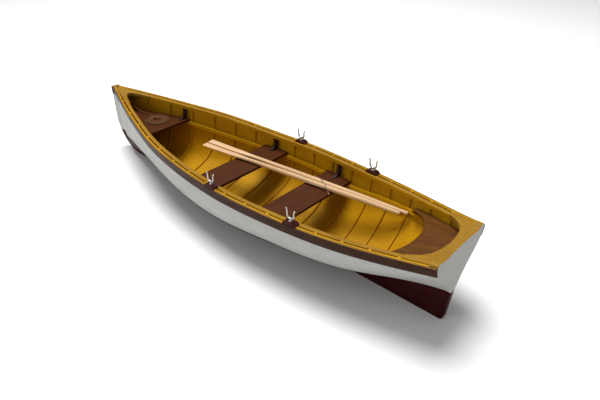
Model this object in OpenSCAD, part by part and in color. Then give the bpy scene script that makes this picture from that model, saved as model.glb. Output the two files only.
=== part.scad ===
// Pulling boat, a 1:12 model of a 14 ft Whitehall type, in millimetres.
// +X is the bow, +Y the port side, +Z up. The origin is on the waterline, amidships.

/* [Hull] */
// Length of the planking, from the transom to the stem
hull_l = 345; // [300:1:420]
// Greatest breadth over the planking
beam = 93.4; // [78:0.1:115]
// Waterline to the underside of the keel
draft = 21; // [18:0.5:27]
// Waterline to the sheer, amidships
freeboard = 29; // [25:0.5:36]
// Rise of the sheer at the stem
bow_rise = 10.4; // [5:0.2:16]
// Rise of the sheer at the transom
stern_rise = 6.4; // [3:0.2:10]
// Thickness of the planking
plank_t = 1.2; // [0.9:0.1:1.6]

/* [Backbone] */
// Width of the keel, stem and deadwood
keel_w = 4.5; // [3.6:0.1:6]
// Depth of the keel below the planking
keel_d = 4; // [3:0.1:6]
// Thickness of the transom
transom_t = 5; // [3.5:0.1:7]
// Height of the transom's ears above the sheer
ear_h = 1.3; // [0.6:0.1:2.5]

/* [Framing] */
// Number of bent frames
rib_count = 16; // [10:1:18]
// Width of a frame
rib_w = 1.7; // [1.2:0.1:2.4]
// Thickness of a frame
rib_t = 1.25; // [0.9:0.05:1.8]
// Width of the inwale
inwale_w = 3.1; // [2:0.1:4]
// Depth of the inwale
inwale_h = 3; // [2:0.1:4]
// Thickness of the rubbing rail
rail_t = 1.4; // [1:0.1:2.2]
// Depth of the rubbing rail
rail_h = 6.8; // [4:0.1:8]
// Thickness of the riser
riser_t = 1.6; // [1:0.1:2.4]
// Depth of the riser
riser_h = 3; // [2:0.1:4]

/* [Seats] */
// Thickness of the thwarts and seats
seat_t = 2.2; // [1.6:0.1:3]
// Width of a thwart, fore and aft
thwart_w = 23.5; // [18:0.5:28]
// Thwart tops above the waterline
thwart_z = 17; // [14:0.5:20]
// Depth of the bay in the stern bench
bench_bay = 19.3; // [12:0.1:24]
// Thickness of a knee
knee_t = 3; // [2:0.1:4]

/* [Oarlocks] */
// Inside width of the horns
lock_gap = 4.2; // [4.1:0.1:5]
// Thickness of a horn
lock_wire = 1.3; // [0.8:0.1:1.6]
// Diameter of the pin
pin_d = 1.5; // [1:0.1:2.2]
// Radial clearance of the pin in its pad
pin_clear = 0.05; // [0.02:0.01:0.1]
// Length of a pad
pad_l = 10; // [7:0.5:14]
// Height of a pad
pad_h = 2; // [1.4:0.1:3]

/* [Oars] */
// Diameter of an oar's loom
loom_d = 3.6; // [2.6:0.1:4]
// Diameter of an oar's grip
grip_d = 2.6; // [1.8:0.1:3]
// Width of a blade
blade_w = 5.6; // [5:0.1:9]

/* [Painter] */
// Diameter of the rope
rope_d = 0.9; // [0.6:0.1:1.4]
// Outer radius of the coil
coil_r = 10.6; // [8:0.1:13]
// Radius of the coil's eye
coil_eye = 2.8; // [2:0.1:4]

/* [Hidden] */
STRAKES = ["garboard", "lower_bilge", "upper_bilge", "topside", "sheer_strake"];
$fn = 48;

white = "#f2f1ec";
maroon = "#4a1015";
mustard = "#b98412";
walnut = "#4a2a1a";
brown = "#6b3a1f";
pewter = "#b9b4aa";
ash = "#e3c7a0";
hemp = "#9a7c60";

seam = 0.03;             // gap that keeps touching curved faces apart
aft_x = -hull_l / 2;     // forward face of the transom
fore_x = hull_l / 2;     // fore end of the planking, at the stem
foot_r = 27;             // fore-and-aft reach of the rounded forefoot
foot_h = 27;             // height of the rounded forefoot
base_z = keel_d - draft; // underside of the planking, amidships
tuck_z = 2;              // lowest point of the planking at the transom
stem_d = 6.5;            // siding of the stem ahead of the planking

// Lines of the hull. Each row gives a place along the hull, 0 at the transom and 1 at the
// stem, and the value there: the breadth as a share of the greatest, then the two end
// angles of a section in degrees, and how far its curve leans on each of them.
BREADTH = [[0, 0.57], [0.17, 0.852], [0.33, 0.985], [0.46, 1], [0.67, 0.828], [0.83, 0.484],
    [0.94, 0.182], [1, 0]];
DEADRISE = [[0, 57], [0.17, 23], [0.35, 7], [0.5, 11], [0.67, 15], [0.83, 25], [0.94, 36], [1, 90]];
FLARE = [[0, 5], [0.3, 3], [0.5, 3], [0.7, 10], [0.85, 10], [0.94, 11], [1, 0]];
FLOOR_PULL = [[0, 0.8], [0.3, 0.66], [0.5, 0.85], [0.67, 0.78], [0.83, 0.74], [0.95, 0.6], [1, 0.33]];
SIDE_PULL = [[0, 0.37], [0.3, 0.52], [0.5, 0.74], [0.67, 0.77], [0.83, 0.64], [0.95, 0.53], [1, 0.33]];
// Height of the riser's top above the underside of the thwarts, along the hull in millimetres
RISER = [[-173, 11.3], [-129, 6.6], [-99, 3], [-84, 0.8], [-76, 0], [-60, 0], [7, 0], [22, 0], [64, 1.5],
    [98, 4.5], [104, 4.5], [150, 4.5]];

// Interpolation of a table by cubics through its rows
function span(t, x, i = 0) = i >= len(t) - 2 || x < t[i + 1][0] ? i : span(t, x, i + 1);
function tilt(t, i) = let (a = max(i - 1, 0), b = min(i + 1, len(t) - 1))
    (t[b][1] - t[a][1]) / (t[b][0] - t[a][0]);
function cubic(a, b, ma, mb, u) = a + u * (ma + u * (3 * (b - a) - 2 * ma - mb
    + u * (2 * (a - b) + ma + mb)));
function look(t, x) = let (i = span(t, x), w = t[i + 1][0] - t[i][0])
    cubic(t[i][1], t[i + 1][1], tilt(t, i) * w, tilt(t, i + 1) * w,
        min(max((x - t[i][0]) / w, 0), 1));

// Shape of the hull at x: sheer, lowest planking, breadth, and the points of a section
function along(x) = min(max((x - aft_x) / hull_l, 0), 1);
function sheer_z(x) = let (s = along(x)) freeboard
    + (s > 0.5 ? bow_rise * pow(2 * s - 1, 1.5) : stern_rise * pow(1 - 2 * s, 3));
function foot_rise(x) = let (a = min((x - fore_x + foot_r) / foot_r, 1))
    a > 0 ? foot_h * (1 - sqrt(1 - a * a)) : 0;
function stern_run(x) = let (s = along(x)) s < 0.3 ? (tuck_z - base_z) * pow(1 - s / 0.3, 2) : 0;
function base(x) = base_z + foot_rise(x) + stern_run(x);
function half(x) = keel_w / 2 + (beam - keel_w) / 2 * look(BREADTH, along(x));
function pulls(x) = let (s = along(x), k = keel_w / 2, b = half(x), lo = base(x), hi = sheer_z(x),
    dr = look(DEADRISE, s), fl = look(FLARE, s),
    p = look(FLOOR_PULL, s) * ((b - k) * cos(dr) + (hi - lo) * sin(dr) / 2),
    q = look(SIDE_PULL, s) * (hi - lo))
    [[k, lo], [k + p * cos(dr), lo + p * sin(dr)], [b - q * sin(fl), hi - q * cos(fl)], [b, hi]];
function mix(p, v) = let (w = 1 - v)
    p[0] * w * w * w + p[1] * 3 * v * w * w + p[2] * 3 * v * v * w + p[3] * v * v * v;
function heading(p, v) = let (w = 1 - v,
    d = (p[1] - p[0]) * w * w + (p[2] - p[1]) * 2 * v * w + (p[3] - p[2]) * v * v) d / norm(d);
// Point of the section at x, v from 0 at the keel to 1 at the sheer, set in by depth
function skin(x, v, depth = 0) = let (p = pulls(x), d = heading(p, v))
    mix(p, v) + depth * [-d[1], d[0]];
// Share v at which the surface set in by depth reaches the height z, and the breadth there
function rise_to(x, z, depth, lo = 0, hi = 1, n = 14) = let (m = (lo + hi) / 2)
    n == 0 ? m : skin(x, m, depth)[1] < z ? rise_to(x, z, depth, m, hi, n - 1)
    : rise_to(x, z, depth, lo, m, n - 1);
function inside(x, z, depth) = skin(x, rise_to(x, z, depth), depth)[0];

// Stations: even spacing, then closer ones round the forefoot
run_n = 26;
foot_n = 7;
function station(i) = i <= run_n ? aft_x + (hull_l - foot_r) * i / run_n
    : fore_x - foot_r + foot_r * sin(90 * (i - run_n) / foot_n);
STATIONS = [for (i = [0:run_n + foot_n]) station(i)];

// Solid through a list of loops of points, all of the same even length. The first half of a
// loop runs out along one side and the second half comes back along the other.
module loft(loops) {
    n = len(loops[0]);
    last = (len(loops) - 1) * n;
    polyhedron(
        points = [for (loop = loops) for (p = loop) p],
        faces = concat(
            [for (j = [0:n / 2 - 2]) each let (m = n - 1 - j) [[m, m - 1, j + 1], [m, j + 1, j]]],
            [for (i = [0:len(loops) - 2]) for (j = [0:n - 1])
                each let (k = (j + 1) % n, a = i * n, b = a + n)
                    j < n / 2 ? [[a + j, a + k, b + k], [a + j, b + k, b + j]]
                    : [[a + j, a + k, b + j], [a + k, b + k, b + j]]],
            [for (j = [0:n / 2 - 2]) each let (m = n - 1 - j)
                [[last + j, last + j + 1, last + m], [last + j + 1, last + m - 1, last + m]]]));
}

// A shape of the port side, or its mirror image to starboard
module side(hand) {
    if (hand == "port") children();
    else mirror([0, 1, 0]) children();
}

// Backbone

// Outer profile of the stem and forefoot, from the keel up to the stem head
stem_x = fore_x + stem_d;
toe_x = fore_x - foot_r + 2;
toe_z = base_z + foot_h;
head_z = sheer_z(fore_x);
function stem_face(n = 14) = [for (i = [0:n]) let (a = 90 * i / n)
    [toe_x + (stem_x - toe_x) * sin(a), toe_z - (toe_z + draft) * cos(a)]];
function rabbet(x0, x1, n) = [for (i = [0:n]) let (x = x0 + (x1 - x0) * i / n) [x, base(x)]];
// Rounded inner edge of the planking at the forefoot, going down from the sheer
function foot_edge(lift, n = 12) = [for (i = [n:-1:0]) let (a = 90 * i / n)
    [fore_x - foot_r + (foot_r - lift) * sin(a), toe_z - (foot_h - lift) * cos(a)]];

heel_x = aft_x - transom_t + 0.5;   // top of the keel's after end
heel_rake = 1.7;                     // how far the heel leans forward from there
module keel() {
    color(maroon) translate([0, keel_w / 2, 0]) rotate([90, 0, 0]) linear_extrude(keel_w)
        polygon(concat(
            [for (a = [180:15:270]) [heel_x + heel_rake + 3 + 3 * cos(a), -draft + 3 + 3 * sin(a)]],
            [[toe_x, -draft], [toe_x, base_z], [heel_x, base_z]]));
}

module stem() {
    color(white) {
        translate([0, keel_w / 2, 0]) rotate([90, 0, 0]) linear_extrude(keel_w)
            polygon(concat(stem_face(), [[stem_x - 2, head_z], [fore_x + seam, head_z]],
                [for (p = foot_edge(0)) [max(p[0], toe_x), p[1]]]));
        // inner part between the planks
        translate([0, 0.9, 0]) rotate([90, 0, 0]) linear_extrude(1.8)
            polygon(concat([[fore_x + 0.5, head_z - 4], [fore_x - 4, head_z - 4]], foot_edge(4),
                [for (a = [6:7:90]) [fore_x - foot_r + (foot_r + 0.5) * sin(a),
                    toe_z - (foot_h + 0.5) * cos(a)]]));
    }
}

module deadwood() {
    color(maroon) translate([0, keel_w / 2, 0]) rotate([90, 0, 0]) linear_extrude(keel_w)
        polygon(concat([[heel_x, base_z]], rabbet(aft_x + 0.3 * hull_l, aft_x, 16), [[aft_x - transom_t, tuck_z]]));
}

module transom() {
    ear_y = half(aft_x) - 2.6;
    color(white) translate([aft_x, 0, 0]) rotate([90, 0, -90]) linear_extrude(transom_t)
        polygon(concat(
            [for (v = [0:0.05:1]) skin(aft_x, v)],
            [for (a = [0:30:150]) [ear_y + 2.6 * cos(a), sheer_z(aft_x) + ear_h * sin(a)]],
            [for (y = [18:-6:-18]) [y, sheer_z(aft_x) + 1.6 - 1.1 * pow(y / 18, 2)]],
            [for (a = [30:30:180]) [-ear_y + 2.6 * cos(a), sheer_z(aft_x) + ear_h * sin(a)]],
            [for (v = [1:-0.05:0]) let (p = skin(aft_x, v)) [-p[0], p[1]]]));
}

// Planking: strakes between two shares of the girth
module strake(row, hand) {
    n = len(STRAKES);
    v0 = row / n;
    v1 = (row + 1) / n;
    cuts = 3;
    color(white) side(hand) loft([for (x = STATIONS) concat(
        [for (j = [0:cuts]) let (p = skin(x, v0 + (v1 - v0) * j / cuts)) [x, p[0], p[1]]],
        [for (j = [cuts:-1:0]) let (p = skin(x, v0 + (v1 - v0) * j / cuts, plank_t)) [x, p[0], p[1]]])]);
}

// Frames, bent from sheer to sheer. They stand closer towards the stern.
rib_aft = 16.5;   // transom to the first frame
rib_last = 30;    // last frame to the stem
rib_even = 0.82;  // spacing at the stern against the mean
function rib_x(i) = let (u = i / (rib_count - 1), w = hull_l - rib_aft - rib_last)
    aft_x + rib_aft + w * (rib_even * u + (1 - rib_even) * u * u);
module rib(x) {
    n = 15;
    function arm(x, depth, way) = [for (i = [0:n]) let (v = way > 0 ? 1 - i / n : i / n,
        p = skin(x, v, depth)) [x, way * p[0], p[1]]];
    function strip(x, depth) = concat(arm(x, depth, 1), arm(x, depth, -1));
    corners = [
        strip(x - rib_w / 2, plank_t + 2 * seam), strip(x + rib_w / 2, plank_t + 2 * seam),
        strip(x + rib_w / 2, plank_t + rib_t), strip(x - rib_w / 2, plank_t + rib_t)];
    loft([for (i = [0:2 * n + 1]) [for (c = corners) c[i]]]);
}
module ribs() {
    color(mustard) for (i = [0:rib_count - 1]) rib(rib_x(i));
}

// Long strips: inwale inside the frames, rubbing rail outside the planking, riser
gunwale_in = plank_t + rib_t + seam;
hook_x = 150;    // fore end of the inwale, at the shoulder of the breasthook
knee_x = aft_x + rib_aft - rib_w / 2 - 4 * seam;   // after end of the inwale, by the first frame
function rim(x) = half(x) - gunwale_in - inwale_w - seam;
module inwale(hand) {
    xs = concat([knee_x], [for (x = STATIONS) if (x > knee_x && x < hook_x) x], [hook_x]);
    color(mustard) side(hand) loft([for (x = xs) let (z = sheer_z(x), y = rim(x),
        low = inside(x, z - inwale_h, gunwale_in) - seam)
        [[x, y + inwale_w, z], [x, y, z], [x, y, z - inwale_h], [x, low, z - inwale_h]]]);
}

module rub_rail(hand) {
    ends = [aft_x - transom_t, stem_x - 2.5];
    function face(x, low, w, out) = let (p = skin(x, low + (1 - low) * w, -seam)) [x, p[0] + out, p[1]];
    color(walnut) side(hand) loft([for (x = concat(ends[0], STATIONS, ends[1])) let (
        low = rise_to(x, sheer_z(x) - rail_h, 0)) concat(
            [for (w = [1:-1 / 3:-0.1]) face(x, low, w, rail_t)],
            [for (w = [0:1 / 3:1.1]) face(x, low, w, 0)])]);
}

seat_low = thwart_z - seat_t;
bow_seat_x = 98;
bow_step = 4.5;    // underside of the bow seat above that of the thwarts
function riser_z(x) = seat_low - seam + (x > bow_seat_x ? bow_step : look(RISER, x));
module riser(hand) {
    xs = [for (x = STATIONS) if (x < 122) x];
    d = plank_t + rib_t + seam;
    color(mustard) side(hand) loft([for (x = xs) let (z = riser_z(x),
        top = inside(x, z, d), low = inside(x, z - riser_h, d))
        [[x, top, z], [x, top - riser_t, z],
            [x, min(low, top) - riser_t, z - riser_h], [x, low, z - riser_h]]]);
}

// Breasthook and quarter knees, level with the sheer
hook_t = 3;
knee_leg = 17;   // reach of a quarter knee along the inwale
function fore_slope(x0, x1) = atan((sheer_z(x1) - sheer_z(x0)) / (x1 - x0));
module breasthook() {
    arm = 136;      // ends of the two arms
    eye = 153.5;    // aft edge of the solid part, on the centreline
    tip = fore_x - 2;
    slope = fore_slope(arm, tip);
    // half breadth of the opening between the planks, and between the inwales
    function wide(x) = (x < hook_x ? rim(x) : inside(x, sheer_z(x) - hook_t, plank_t + seam)) - 4 * seam;
    color(mustard) translate([arm, 0, sheer_z(arm) + 0.2]) rotate([0, -slope, 0])
        translate([-arm, 0, -hook_t]) linear_extrude(hook_t) polygon(both(concat(
            [for (u = [1:-0.0625:0]) let (x = arm + (eye - arm) * u)
                [x, (rim(x) - 0.9) * sqrt(1 - pow(u, 6))]],
            [for (x = [arm:3.5:hook_x - 0.1]) [x, wide(x)]], [[hook_x - 0.1, wide(hook_x - 0.1)]],
            [for (u = [0:0.125:1]) let (x = hook_x + 0.1 + (tip - hook_x) * u) [x, wide(x)]])));
}

module quarter_knee(hand) {
    fore = aft_x + knee_leg;
    slope = fore_slope(aft_x, fore);
    // reach of the hollow edge ahead of the transom, at t in from the inwale
    function hollow(t) = 1.5 + (knee_leg - 1.5) * exp(-t / 6.5);
    color(mustard) side(hand) translate([aft_x, 0, sheer_z(aft_x) + 0.1]) rotate([0, -slope, 0])
        translate([-aft_x, 0, -hook_t]) linear_extrude(hook_t) polygon(concat(
            [for (u = [0:0.125:1]) let (x = aft_x + 0.3 + (knee_x - seam - aft_x - 0.3) * u)
                [x, inside(x, sheer_z(x) - hook_t, plank_t + seam) - 4 * seam]],
            [for (x = [knee_x - seam, fore]) [x, rim(x) - 2 * seam]],
            [for (u = [0.04:0.08:1]) let (t = (rim(fore) - 2 * seam) * pow(u, 1.5))
                [aft_x + hollow(t), rim(fore) - 2 * seam - t]],
            [[aft_x + hollow(rim(fore)), seam], [aft_x + 0.3, seam]]));
}

// Seats: flat boards cut to the frames
function edge(x, z) = inside(x, z, plank_t + rib_t + seam) - seam;
function plan(x0, x1, z, n) = [for (i = [0:n]) let (x = x0 + (x1 - x0) * i / n) [x, edge(x, z)]];
function both(p) = concat(p, [for (i = [len(p) - 1:-1:0]) [p[i][0], -p[i][1]]]);
module board(x0, x1, z, n = 8) {
    color(brown) translate([0, 0, z]) linear_extrude(seat_t) polygon(both(plan(x0, x1, z, n)));
}

fore_thwart_x = 7.3;
aft_thwart_x = -58.2;
bow_seat_z = seat_low + bow_step;
module bow_seat() board(bow_seat_x, fore_x - 13, bow_seat_z, 12);
module forward_thwart() board(fore_thwart_x - thwart_w / 2, fore_thwart_x + thwart_w / 2, seat_low);
module aft_thwart() board(aft_thwart_x - thwart_w / 2, aft_thwart_x + thwart_w / 2, seat_low);

// Stern bench: a U round the after end, sloping up to the transom with the risers
bench_x = -129;     // tips of the two arms
bench_slope = 6.1;  // degrees
bench_z = seat_low + 6.7;
bay_w = 28.5;
module stern_bench() {
    w = bench_x - aft_x;
    function wide(u) = edge(bench_x - u, bench_z + u * tan(bench_slope));
    color(brown) translate([bench_x, 0, bench_z]) rotate([0, bench_slope, 0])
        linear_extrude(seat_t) polygon(concat(
            [for (u = [0:w / 10:w - 0.1]) [-u / cos(bench_slope), wide(u)]],
            [for (u = [w - 0.1:-w / 10:0]) [-u / cos(bench_slope), -wide(u)]],
            [for (a = [0:10:180]) [-bench_bay * sin(a), -bay_w * cos(a)]]));
}

// Knees on the ends of the seats, up to the inwale
module knee(x, z, hand) {
    reach = 7.5;
    top = sheer_z(x) - inwale_h - seam;
    y0 = edge(x, z) - 0.2;
    y1 = min(edge(x - knee_t / 2, top), edge(x + knee_t / 2, top)) - 0.2;
    h = top - z;
    color(walnut) side(hand) translate([x + knee_t / 2, 0, 0]) rotate([90, 0, -90])
        linear_extrude(knee_t) mirror([1, 0]) polygon(concat([[y0, z], [y1, top]],
            [for (a = [0:15:90]) [y1 - 2.4 - (reach - 2.4) * (1 - cos(a)), top - (h - 1) * sin(a)]],
            [[y0 - reach, z]]));
}
module bow_seat_knee(hand) knee(bow_seat_x + 4, bow_seat_z + seat_t, hand);
module forward_thwart_knee(hand) knee(fore_thwart_x, thwart_z, hand);
module aft_thwart_knee(hand) knee(aft_thwart_x, thwart_z, hand);

// Oarlocks: a pad on the gunwale, and a horned fork that turns in it
LOCK_X = [-16.6, -87.2];
pad_y = 5.2;       // width of a pad across the gunwale
neck = 1.2;        // height of the fork's neck above its pad
horn_r = (lock_gap + lock_wire) / 2;
horn_h = 2.6;      // straight part of a horn
function lock_y(x) = half(x) + rail_t - 0.3 - pad_y / 2;
function lock_z(x) = max(sheer_z(x - pad_l / 2), sheer_z(x + pad_l / 2)) + seam;
module oarlock_pad(x, hand) {
    turn = atan((half(x + 4) - half(x - 4)) / 8);
    color("#3f1512") side(hand) translate([x, lock_y(x), lock_z(x)]) rotate([0, 0, turn]) difference() {
        translate([0, pad_y / 2, 0]) rotate([90, 0, 0]) linear_extrude(pad_y) polygon([
            [-pad_l / 2, 0], [pad_l / 2, 0], [pad_l / 2, pad_h * 0.35], [pad_l / 2 - 2, pad_h],
            [-pad_l / 2 + 2, pad_h], [-pad_l / 2, pad_h * 0.35]]);
        translate([0, 0, 0.2]) cylinder(d = pin_d + 2 * pin_clear, h = pad_h);
    }
}

module oarlock(x, hand) {
    deep = pad_h - 0.3;
    up = neck + horn_r;
    color(pewter) side(hand) translate([x, lock_y(x), lock_z(x) + pad_h]) {
        translate([0, 0, -deep]) cylinder(d = pin_d, h = deep + neck);
        translate([0, 0, 0.05]) cylinder(d1 = pin_d + 1, d2 = pin_d, h = 0.6);
        translate([0, 0, up + lock_wire / 2 - 0.2]) rotate([90, 0, 0]) rotate([0, 0, 180])
            rotate_extrude(angle = 180) translate([horn_r, 0]) circle(d = lock_wire);
        for (way = [-1, 1]) translate([way * horn_r, 0, up + lock_wire / 2 - 0.2]) {
            cylinder(d = lock_wire, h = horn_h);
            translate([0, 0, horn_h]) sphere(d = lock_wire);
            translate([0, 0, horn_h]) rotate([0, way * 28, 0])
                cylinder(d1 = lock_wire, d2 = lock_wire + 0.2, h = 1.2);
        }
    }
}

// Oars: stowed on the thwarts, blades forward
oar_z = thwart_z + loom_d / 2 + seam;
OAR_INNER = [[53, -4.2], [-122, -26.2]];   // blade tip and grip end
OAR_OUTER = [[54, -11.1], [-126, -29.6]];
module oar(ends) {
    run = ends[0] - ends[1];
    l = norm(run);
    grip = 10;
    blade = 46;
    throat = 14;
    color(ash) translate([ends[1][0], ends[1][1], oar_z]) rotate([0, 0, atan2(run[1], run[0])]) {
        rotate([0, 90, 0]) rotate_extrude() polygon([[0, 0], [grip_d / 2 - 0.4, 0], [grip_d / 2, 0.5],
            [grip_d / 2, grip - 1], [loom_d / 2 - 0.3, grip + 1], [loom_d / 2, grip + 26],
            [loom_d / 2, l * 0.45],
            [loom_d / 2 - 0.5, l - blade], [0.6, l - blade + throat + 10], [0, l - blade + throat + 10]]);
        translate([0, 0, -0.6]) linear_extrude(1.2) polygon([
            [l - blade, -1], [l - blade + throat, -blade_w / 2 + 0.6], [l, -blade_w / 2],
            [l, blade_w / 2], [l - blade + throat, blade_w / 2 - 0.6], [l - blade, 1]]);
    }
}
module oar_inner() oar(OAR_INNER);
module oar_outer() oar(OAR_OUTER);

// Lashing: a flat band of thread round both looms, square to them
lash_x = -45.5;
module oar_lashing() {
    run = OAR_INNER[0] - OAR_INNER[1];
    t = run / norm(run);
    start = OAR_INNER[1] + t * (lash_x - OAR_INNER[1][0]) / t[0];
    // distance from the inner oar to the other one, along the band
    function reach(ends) = let (d = ends[0] - ends[1], k = ((start - ends[1]) * t) / (d * t))
        (ends[1] + k * d - start) * [-t[1], t[0]];
    module outline(gap) hull() for (y = [0, reach(OAR_OUTER)])
        translate([y, 0]) circle(d = loom_d + 2 * gap, $fn = 32);
    color(hemp) translate([start[0], start[1], oar_z]) rotate([0, 0, atan2(run[1], run[0])])
        rotate([90, 0, 90]) linear_extrude(1.6) difference() {
            outline(0.5);
            outline(0.1);
        }
}

// Painter: ring in the stem, the rope down to the bow seat, and its flat coil
COIL = [116.5, -2.5];
ring_x = fore_x - 10;
ring_z = 28;
seat_top = bow_seat_z + seat_t;
module painter_ring() {
    color(pewter) {
        translate([ring_x, 0, ring_z]) rotate([90, 0, 0]) rotate_extrude()
            translate([1.9, 0]) circle(d = 0.7, $fn = 24);
        translate([ring_x + 1.9, 0, ring_z]) rotate([0, 90, 0])
            cylinder(d = 0.8, h = fore_x - 4 - ring_x - 1.9);
    }
}

// Way of the painter from the ring to the coil
LINE = [[160.1, -0.1, 27.6], [158, -0.3, 26.9], [154, -0.8, 25.8], [150, -1.3, 24.9], [146, -1.8, 24.1],
    [142, -2.3, 23.4], [138, -2.9, 22.8], [134, -3.5, 22.4], [130.5, -4, 22.1], [127.6, -4.3, 22]];
module painter_line() {
    sides = 8;
    n = len(LINE);
    function run(i) = let (d = LINE[min(i + 1, n - 1)] - LINE[max(i - 1, 0)]) d / norm(d);
    function level(t) = cross([0, 0, 1], t) / norm(cross([0, 0, 1], t));
    color(hemp) loft([for (i = [0:n - 1]) let (t = run(i), u = level(t), w = cross(t, u))
        [for (k = [0:sides - 1]) let (a = 360 * k / sides)
            LINE[i] + rope_d / 2 * (cos(a) * u + sin(a) * w)]]);
}

module painter_coil() {
    color(hemp) translate([COIL[0], COIL[1], seat_top + seam]) rotate_extrude()
        translate([coil_eye, 0]) square([coil_r - coil_eye, 2 * rope_d]);
}

keel();
stem();
deadwood();
transom();
for (i = [0:len(STRAKES) - 1]) for (hand = ["port", "starboard"])
    strake(i, hand);
ribs();
for (hand = ["port", "starboard"]) {
    inwale(hand);
    rub_rail(hand);
    riser(hand);
    quarter_knee(hand);
    bow_seat_knee(hand);
    forward_thwart_knee(hand);
    aft_thwart_knee(hand);
    for (i = [0, 1]) {
        name = str(hand, i == 0 ? "_fore" : "_aft");
        oarlock_pad(LOCK_X[i], hand);
        oarlock(LOCK_X[i], hand);
    }
}
breasthook();
bow_seat();
forward_thwart();
aft_thwart();
stern_bench();
oar_inner();
oar_outer();
oar_lashing();
painter_ring();
painter_line();
painter_coil();
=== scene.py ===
import math

import bmesh
import bpy
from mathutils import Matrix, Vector


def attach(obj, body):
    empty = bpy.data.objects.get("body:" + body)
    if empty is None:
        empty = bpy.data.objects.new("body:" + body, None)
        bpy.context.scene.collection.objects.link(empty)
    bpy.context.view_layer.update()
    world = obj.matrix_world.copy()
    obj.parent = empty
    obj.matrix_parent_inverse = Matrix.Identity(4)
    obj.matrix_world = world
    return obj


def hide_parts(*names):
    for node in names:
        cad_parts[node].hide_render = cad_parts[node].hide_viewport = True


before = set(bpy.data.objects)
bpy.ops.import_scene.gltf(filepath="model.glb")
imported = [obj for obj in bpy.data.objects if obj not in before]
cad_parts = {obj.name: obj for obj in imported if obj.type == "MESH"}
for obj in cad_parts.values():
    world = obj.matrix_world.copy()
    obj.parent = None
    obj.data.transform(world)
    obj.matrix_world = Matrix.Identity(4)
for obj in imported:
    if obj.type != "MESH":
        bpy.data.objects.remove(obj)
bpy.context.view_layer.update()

# ---------------------------------------------------------------- the view
# A camera with a moderately wide lens stands close off the port quarter of the boat and looks
# down over the transom towards the bow.

eye = Vector((-0.26566, 0.22948, 0.21298))
view_turn = math.radians(-47.65)
view_dip = math.radians(32.7)
ahead = Vector((math.cos(view_dip) * math.cos(view_turn),
                math.cos(view_dip) * math.sin(view_turn), -math.sin(view_dip)))
camera = bpy.data.objects.new("view", bpy.data.cameras.new("view"))
bpy.context.scene.collection.objects.link(camera)
camera.location = eye
camera.rotation_mode = "QUATERNION"
camera.rotation_quaternion = ahead.to_track_quat("-Z", "Y")
camera.data.lens = 31.46
camera.data.clip_start = 0.01
bpy.context.scene.camera = camera

# ---------------------------------------------------------------- planking
# Thin wooden planks laid edge to edge and faired smooth, so that hull and paint read as one
# skin. White above the waterline, dark maroon below it, and mustard inside and along the top
# edge. Sizes from here on are millimetres, and a piece's points become metres when it is made.

hull_length = 345.0    # along the planking, from the transom to the stem
hull_beam = 93.4       # over the planking
keel_width = 4.5
plank = 1.2            # thickness of the planking
aft_x = -hull_length / 2
fore_x = hull_length / 2
keel_foot = -21.0      # underside of the keel
plank_foot = -17.0     # underside of the planking amidships
forefoot = 27.0        # radius of the rounded forefoot
tuck = 2.0             # lowest planking at the transom
run_share = .3         # share of the length over which the bottom rises to the transom
sheer_low, bow_lift, stern_lift = 29, 10.4, 6.4

# Each row is a place along the hull, 0 at the transom and 1 at the stem, with a value there:
# the share of the greatest breadth, the rise of the bottom and the flare of the side in
# degrees, and how far the section's curve is drawn out along the bottom and down the side.
breadth_rows = [(0, .57), (.17, .852), (.33, .985), (.46, 1), (.67, .828), (.83, .484),
                (.94, .182), (1, 0)]
rise_rows = [(0, 57), (.17, 23), (.35, 7), (.5, 11), (.67, 15), (.83, 25), (.94, 36), (1, 90)]
flare_rows = [(0, 5), (.3, 3), (.5, 3), (.7, 10), (.85, 10), (.94, 11), (1, 0)]
floor_rows = [(0, .8), (.3, .66), (.5, .85), (.67, .78), (.83, .74), (.95, .6), (1, .33)]
side_rows = [(0, .37), (.3, .52), (.5, .74), (.67, .77), (.83, .64), (.95, .53), (1, .33)]


def through(rows, place):
    """The value at a place, on a smooth curve through the rows."""
    i = 0
    while i < len(rows) - 2 and place >= rows[i + 1][0]:
        i += 1

    def tilt(k):
        a, b = rows[max(k - 1, 0)], rows[min(k + 1, len(rows) - 1)]
        return (b[1] - a[1]) / (b[0] - a[0])

    (x0, y0), (x1, y1) = rows[i], rows[i + 1]
    w = x1 - x0
    u = min(max((place - x0) / w, 0), 1)
    m0, m1 = tilt(i) * w, tilt(i + 1) * w
    return y0 + u * (m0 + u * (3 * (y1 - y0) - 2 * m0 - m1 + u * (2 * (y0 - y1) + m0 + m1)))


def along(x):
    return (x - aft_x) / hull_length


def sheer(x):
    s = along(x)
    return sheer_low + (bow_lift * (2 * s - 1) ** 1.5 if s > .5 else stern_lift * (1 - 2 * s) ** 3)


def bottom(x):
    """Height of the planking's lowest line, with the round forefoot and the run up aft."""
    a = min((x - fore_x + forefoot) / forefoot, 1)
    lift = forefoot * (1 - math.sqrt(1 - a * a)) if a > 0 else 0
    s = along(x)
    return plank_foot + lift + ((tuck - plank_foot) * (1 - s / run_share) ** 2 if s < run_share else 0)


def half(x):
    """Half breadth at the sheer. The taper goes on past the transom's forward face."""
    (s0, b0), (s1, b1) = breadth_rows[:2]
    share = through(breadth_rows, along(x)) + (b1 - b0) / (s1 - s0) * min(along(x), 0)
    return keel_width / 2 + (hull_beam - keel_width) / 2 * share


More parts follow.
